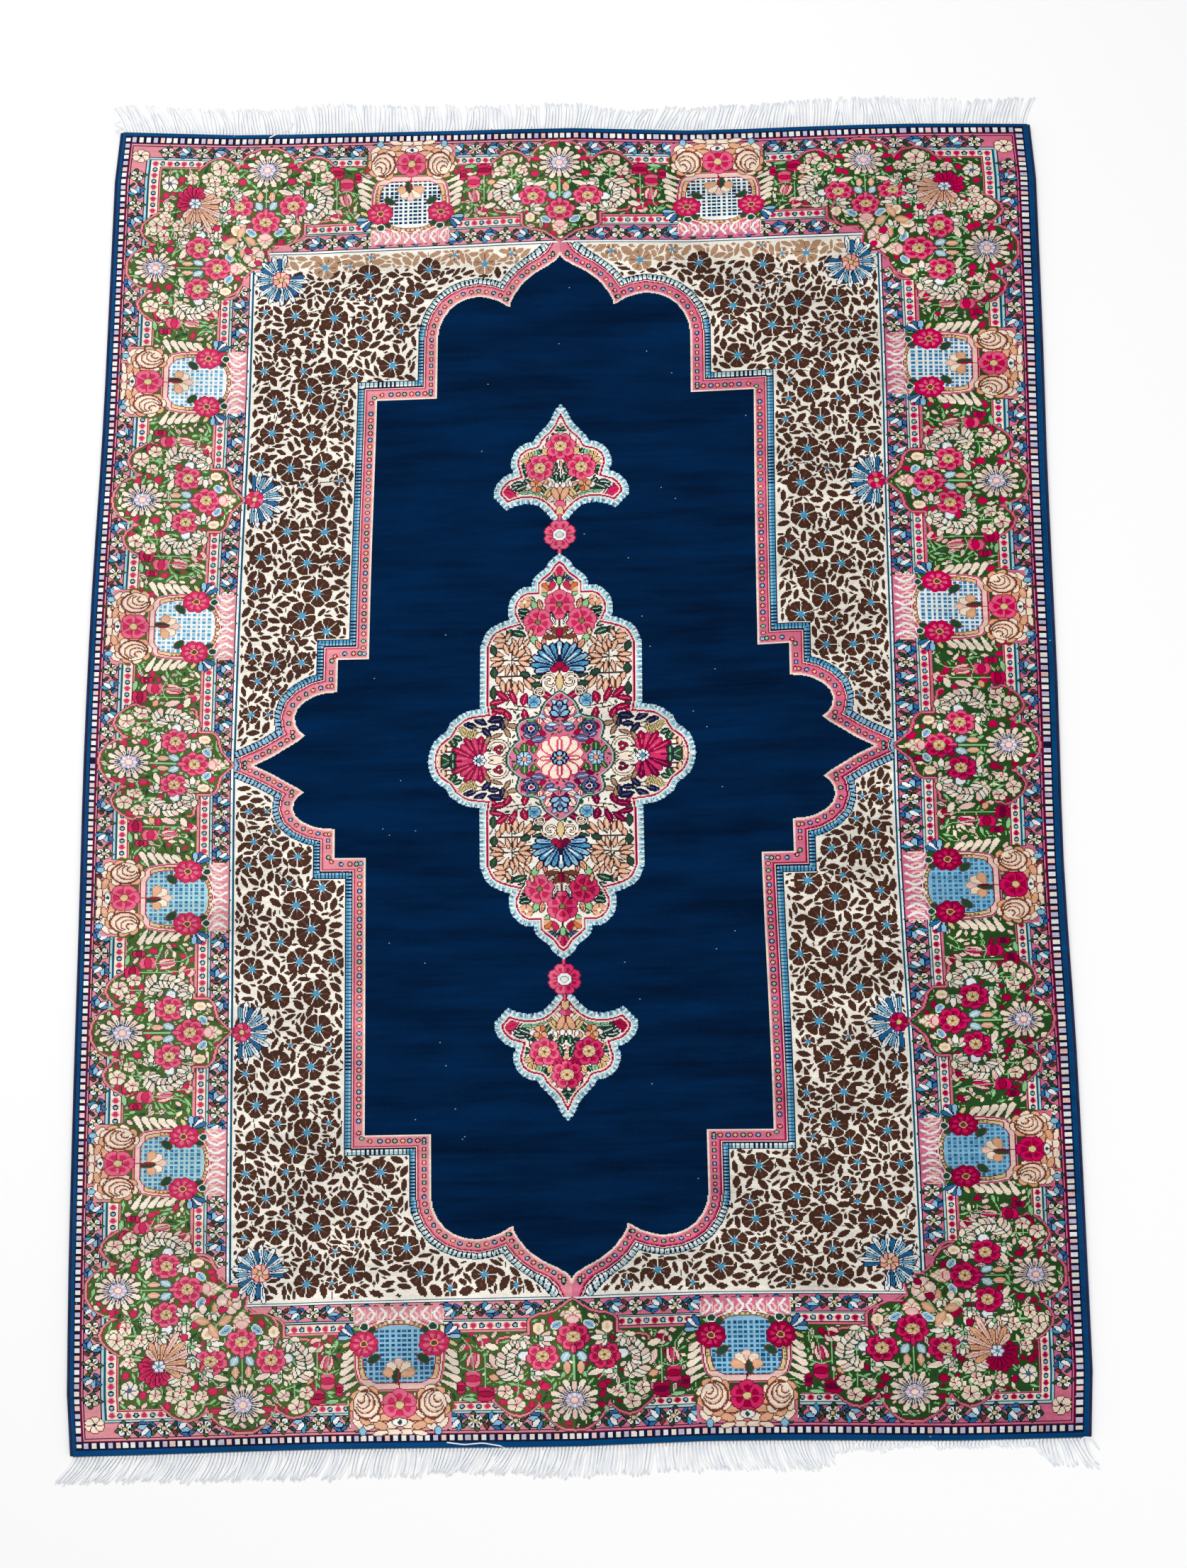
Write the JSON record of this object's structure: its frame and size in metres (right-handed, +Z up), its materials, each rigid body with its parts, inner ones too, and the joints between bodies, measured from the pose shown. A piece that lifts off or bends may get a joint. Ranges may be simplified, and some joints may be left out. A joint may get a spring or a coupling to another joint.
{
  "type": "persian rug",
  "caption": "Rectangular hand-knotted floral pile rug lying flat, with a medallion on a navy field, floral borders, overcast sides and a cotton fringe at both ends.",
  "frame": {"origin": "on the floor, under the middle of the whole outline with its fringes", "axes": "+Z up from the floor, +Y along the rug towards its far end, +X across it to the right"},
  "size_m": [1.4638, 2.0828, 0.01],
  "materials": {
    "pile_wool": "short cut wool pile, navy with a many-coloured floral design",
    "cord_wool": "navy wool overcast in close turns",
    "fringe_cotton": "bluish white twisted cotton warp threads"
  },
  "bodies": {
    "root": {"rug": "pile_wool", "side_cord_left": "cord_wool", "side_cord_right": "cord_wool", "fringe_near": "fringe_cotton", "fringe_far": "fringe_cotton"}
  },
  "joints": []
}
